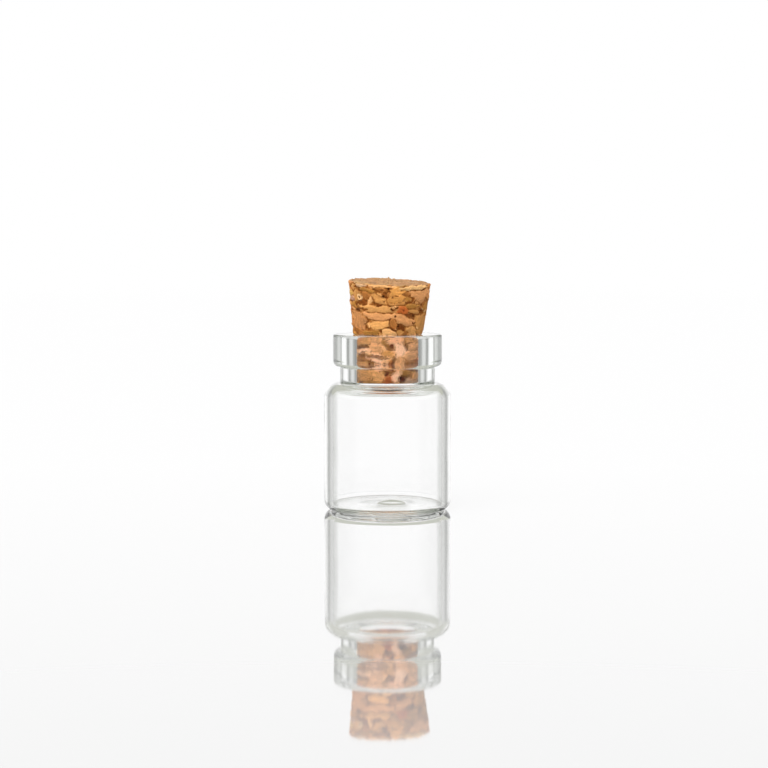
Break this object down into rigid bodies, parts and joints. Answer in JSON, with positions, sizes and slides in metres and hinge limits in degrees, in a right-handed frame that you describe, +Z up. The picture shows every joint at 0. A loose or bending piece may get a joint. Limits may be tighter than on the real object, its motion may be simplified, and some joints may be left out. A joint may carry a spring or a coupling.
{
  "type": "miniature corked glass bottle",
  "caption": "Small clear glass bottle with a round body, short neck and heavy rim, closed by a tapered agglomerated cork that lifts out.",
  "frame": {"origin": "centre of the foot, on the surface that the bottle stands on", "axes": "+Z up along the bottle's axis, -Y towards the viewer of the picture"},
  "size_m": [0.013, 0.013, 0.0237],
  "materials": {
    "clear_glass": "clear, smooth, faintly green at the edges",
    "cork": "matt agglomerated cork granules with dark gaps"
  },
  "bodies": {
    "bottle": {"glass_bottle": "clear_glass"},
    "stopper": {"cork_stopper": "cork"}
  },
  "joints": [
    {"name": "stopper_lift", "type": "slide", "parent": "bottle", "child": "stopper", "axis": [0, 0, 1], "range_m": [0, 0.008]}
  ]
}
